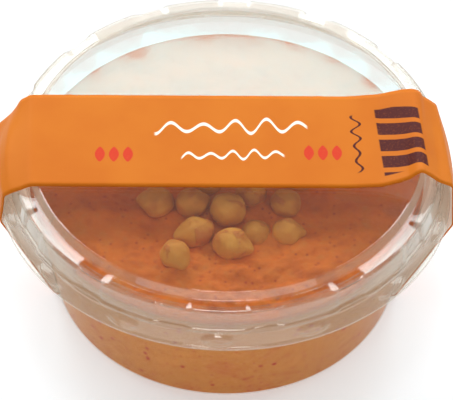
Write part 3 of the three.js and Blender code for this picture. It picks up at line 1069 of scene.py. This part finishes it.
@dataclass
class CardSleeve:
    """The card sleeve: a closed band round the pack, slack and creased at its right end, in millimetres.

    Attributes:
        pack: where the pack stands.
        card: thickness.
        half_width: half its width over the lid.
        base_half_width: half its width under the tub.
        middle_y: its middle line.
        base_fold_x: where it folds under the tub.
        across: facets across the card.
        pitch: facet length along it.
        full_drop: how far under the lid's top it has its full width.
        LEFT: [x, drop] of its inner face at its front, middle and back, up over the left end.
        RIGHT: the same, down over the right end.
    """

    pack: Pack
    card: float = 0.45
    half_width: float = 16.1
    base_half_width: float = 9.5
    middle_y: float = 0.55
    base_fold_x: float = 45.2
    across: int = 24
    pitch: float = 0.6
    full_drop: float = 13.0

    LEFT = (
        ((-57.8, 13.0), (-60.0, 13.2), (-59.6, 13.2)),
        ((-57.6, 11.0), (-59.9, 11.2), (-59.3, 10.4)),
        ((-57.2, 8.5), (-59.5, 9.0), (-57.9, 8.9)),
        ((-56.7, 3.6), (-58.4, 5.0), (-56.1, 6.8)),
        ((-54.9, 2.4), (-56.5, 1.9), (-54.7, 4.4)),
        ((-52.9, 1.4), (-54.0, 1.1), (-53.5, 1.7)),
        ((-50.0, -0.2), (-50.7, -0.2), (-51.0, -0.1)),
        ((-46.5, -0.2), (-46.5, -0.2), (-46.5, -0.2)),
    )
    RIGHT = (
        ((31.0, -0.3), (31.0, -0.3), (31.0, -0.3)),
        ((39.5, -0.9), (39.5, -0.9), (39.6, -1.3)),
        ((43.5, -2.4), (43.5, -2.2), (43.0, -2.4)),
        ((46.4, -3.8), (46.2, -3.4), (45.9, -3.2)),
        ((48.2, -5.7), (48.3, -4.6), (48.4, -3.3)),
        ((49.2, -6.4), (49.6, -4.6), (49.9, -2.5)),
        ((50.4, -5.8), (50.8, -3.4), (50.6, -0.7)),
        ((53.9, -2.7), (53.2, -1.0), (52.2, 0.4)),
        ((57.2, -1.1), (55.9, 0.5), (54.3, 2.3)),
        ((57.6, 5.0), (57.7, 6.0), (55.5, 7.0)),
        ((58.0, 13.0), (58.4, 13.2), (57.1, 13.2)),
    )

    def stations(self) -> list[Station]:
        """Inner face of the card as [x, drop] at its front, middle and back, round the pack."""
        base = self.pack.axis.z / MM - self.card
        fold = self.base_fold_x
        under = [(-fold, 0.4), (fold, 0.4), (fold - 0.6, 0.0), (-fold + 0.6, 0.0)]
        first, *rest = [((x, base - height),) * 3 for x, height in under]
        rows = [first, *self.LEFT, *self.RIGHT, *rest]
        return [[Vector(place) for place in row] for row in rows]

    def fine_stations(self) -> list[Station]:
        """The stations filled in at a short pitch, each eased towards its neighbours."""
        coarse = self.stations()
        fine = []
        for here, there in zip(coarse, coarse[1:] + coarse[:1]):
            steps = max(2, round((there[1] - here[1]).length / self.pitch))
            fine += [[p.lerp(q, i / steps) for p, q in zip(here, there)] for i in range(steps)]
        rows = zip(fine[-1:] + fine[:-1], fine, fine[1:] + fine[:1])
        return [[(p + 2 * q + r) / 4 for p, q, r in zip(*row)] for row in rows]

    def half_at(self, drop: float) -> float:
        """Half the card's width at a drop: full over the lid, narrower down to the base."""
        share = 1 - straight(drop, self.full_drop, self.pack.axis.z / MM)
        return self.base_half_width + (self.half_width - self.base_half_width) * share

    def point(self, station: Station, side: float) -> Vector:
        """A point of the inner face, in metres.

        Args:
            station: where along the card.
            side: -1 at its front edge to 1 at its back edge.

        Returns:
            The point in the row frame.
        """
        front, middle, back = station
        place = middle + (back - front) * side / 2 + (front + back - 2 * middle) * side * side / 2
        y = self.middle_y + side * self.half_at(place.y)
        return Vector((self.pack.axis.x + place.x * MM, self.pack.axis.y + y * MM, self.pack.drop(place.y)))

    def build(self) -> None:
        """Models the sleeve."""
        stations = self.fine_stations()
        count = len(stations)
        bm = bmesh.new()
        bmesh.ops.create_grid(bm, x_segments=count, y_segments=self.across, size=1.0)
        for vert in bm.verts:
            at = round((vert.co.x + 1) / 2 * count) % count
            vert.co = self.point(stations[at], vert.co.y)
        bmesh.ops.remove_doubles(bm, verts=bm.verts, dist=1e-7)
        bmesh.ops.recalc_face_normals(bm, faces=bm.faces)
        top = max(bm.faces, key=lambda face: face.calc_center_median().z)
        if top.normal.z < 0:
            bmesh.ops.reverse_faces(bm, faces=bm.faces)
        printed = set(bm.faces)
        grown = bmesh.ops.solidify(bm, geom=bm.faces[:], thickness=-self.card * MM)
        fresh = {item for item in grown["geom"] if isinstance(item, bmesh.types.BMFace)}
        inner = printed - fresh
        for face in bm.faces:
            face.material_index = 1 if face in inner else 0
        materials = [PrintedCard().material(self.pack.axis), PlainBoard().material()]
        settle(to_piece("sleeve_card", bm, materials), Slot.SLEEVE, "sleeve")


@dataclass
class Studio:
    """Camera, lights and floor.

    Attributes:
        pack: where the pack stands.
        look: x and y of the point at the lid's top that the view is centred on, in millimetres.
        elevation: how far the camera looks down, in degrees.
        azimuth: how far it is turned about Z, in degrees.
        roll: how far it is turned about its own axis, in radians.
        distance: from that point, in millimetres.
        pixels_per_mm: scale of the picture at that point.
        picture_width: the picture's width in pixels.
        strips: azimuth, half angle and lowest height of each strip of the lamp that the far panel
            mirrors; its lower edge follows the hummus's far edge.
        glow_top: height of that lamp's upper edge.
        floor_half: half the floor's side, in metres.
    """

    pack: Pack
    look: tuple[float, float] = (0.08, -19.57)
    elevation: float = 47.43
    azimuth: float = -0.6
    roll: float = 0.0145
    distance: float = 900.0
    pixels_per_mm: float = 3.943
    picture_width: int = 453
    strips: tuple[tuple[float, float, float], ...] = (
        (0, 3, 656), (-4, 1, 668), (4, 1, 661), (-5.75, 0.75, 681), (5.75, 0.75, 671),
        (-7.25, 0.75, 699), (7.25, 0.75, 687))
    glow_top: float = 736
    floor_half: float = 12.0

    def camera(self) -> None:
        """Sets the camera at the photograph's view."""
        turn = Matrix.Rotation(math.radians(self.azimuth), 4, "Z")
        look = Matrix.Translation(Vector((*self.look, 0)) * MM)
        tilt = Matrix.Rotation(math.radians(90 - self.elevation), 4, "X")
        back = Matrix.Translation(Vector((0, 0, self.distance * MM)))
        roll = Matrix.Rotation(self.roll, 4, "Z")
        data = bpy.data.cameras.new("view")
        data.lens = self.pixels_per_mm * self.distance * data.sensor_width / self.picture_width
        data.clip_start = 0.05
        data.clip_end = 30
        camera = bpy.data.objects.new("view", data)
        camera.matrix_world = Matrix.Translation(self.pack.axis) @ turn @ look @ tilt @ back @ roll
        bpy.context.scene.collection.objects.link(camera)
        bpy.context.scene.camera = camera

    def lamp(self, name: str, sides: tuple[float, float], place: Vector, aim: Vector,
             radiance: float, colour: tuple[float, float, float]) -> None:
        """A rectangular lamp.

        Args:
            name: its name.
            sides: its width and length, in millimetres.
            place: its middle, in millimetres from the pack's axis at the lid's top.
            aim: direction that it shines in.
            radiance: brightness of its face.
            colour: its colour.
        """
        data = bpy.data.lights.new(name, "AREA")
        data.shape = "RECTANGLE"
        data.size, data.size_y = (side * MM for side in sides)
        data.color = colour
        data.energy = radiance * math.pi * data.size * data.size_y
        lamp = bpy.data.objects.new(name, data)
        lamp.location = self.pack.axis + place * MM
        lamp.rotation_euler = aim.to_track_quat("-Z", "Y").to_euler()
        bpy.context.scene.collection.objects.link(lamp)

    def lights(self) -> None:
        """Sets the lamps and the even light of the room.

        A row holds an upright lamp's name, its azimuth from the back (+Y) towards +X, half of the
        angle that it fills sideways, its lower and upper edge over the lid's top, its distance from
        the pack's axis, its brightness and its colour.
        """
        white = (1.0, 0.995, 0.98)
        cool = (0.89, 0.985, 1.0)
        glow = (0.32, 0.98, 1.04)
        rows = []
        for azimuth, half, lowest in self.strips:
            rows.append((f"back_glow_{azimuth}", azimuth, half, lowest, self.glow_top, 700, 5.5, glow))
            rows.append((f"back_middle_{azimuth}", azimuth, half, 560, lowest - 1, 700, 0.9, white))
        rows += [
            ("back_low", 0, 10, 150, 559, 700, 2.4, white),
            ("back_left", -33, 24.5, 260, 1250, 800, 5.0, cool),
            ("back_right", 32, 23.5, 260, 1250, 800, 4.4, cool),
            ("side_left", -73, 14, 150, 900, 800, 2.8, cool),
            ("side_right", 73, 14, 150, 900, 800, 2.6, cool),
            ("front", 180, 45, -30, 1150, 1000, 0.85, white),
        ]
        for name, azimuth, half, low, high, distance, radiance, colour in rows:
            turn = math.radians(azimuth)
            out = Vector((math.sin(turn), math.cos(turn), 0.0))
            width = 2 * distance * math.tan(math.radians(half))
            place = out * distance + Vector((0.0, 0.0, (low + high) / 2))
            self.lamp(name, (width, high - low), place, -out, radiance, colour)
        self.lamp("overhead", (260, 260), Vector((0, -100, 1000)), Vector((0, 0, -1)), 9.0, white)
        world = bpy.data.worlds.new("room")
        world.use_nodes = True
        background = world.node_tree.nodes["Background"]
        background.inputs["Color"].default_value = (1.0, 1.0, 1.0, 1.0)
        background.inputs["Strength"].default_value = 0.12
        bpy.context.scene.world = world
        view = bpy.context.scene.view_settings
        view.view_transform = "Standard"
        view.look = "None"
        bpy.context.scene.cycles.transparent_max_bounces = 32

    def floor(self) -> None:
        """Lays the plain floor, darker under the back lamps so that it looks even."""
        bench = Bench.named("studio_floor")
        at = bench.place()
        grain = bench.clouds(at, 40.0, 2.0)
        _, y, _ = bench.split(at)
        colour = bench.tinted(srgb(208, 212, 216), srgb(212, 216, 220), grain)
        colour = bench.tinted(colour, srgb(175, 171, 172), y.ramp(-10.0, 100.0))
        values = {
            "Base Color": colour,
            "Roughness": 0.9,
            "Emission Color": (1.0, 1.0, 1.0, 1.0),
            "Emission Strength": 0.43,
            "Specular IOR Level": 0.1,
        }
        bm = bmesh.new()
        bmesh.ops.create_grid(bm, x_segments=4, y_segments=4, size=self.floor_half)
        floor = to_piece("floor", bm, [bench.principled(values)])


def main() -> None:
    """Builds the pack and its studio."""
    pack = Pack.from_frame()
    relief = Relief()
    heap = Heap(pack, relief)
    heap.plan()
    tub = Tub(pack)
    tub.build()
    HummusFill(pack, relief=relief).build(tub, heap)
    heap.build()
    Lid(pack).build()
    CardSleeve(pack).build()
    studio = Studio(pack)
    studio.camera()
    studio.lights()
    studio.floor()


if __name__ == "__main__":
    logging.basicConfig(level=logging.INFO, format="%(message)s")
    main()
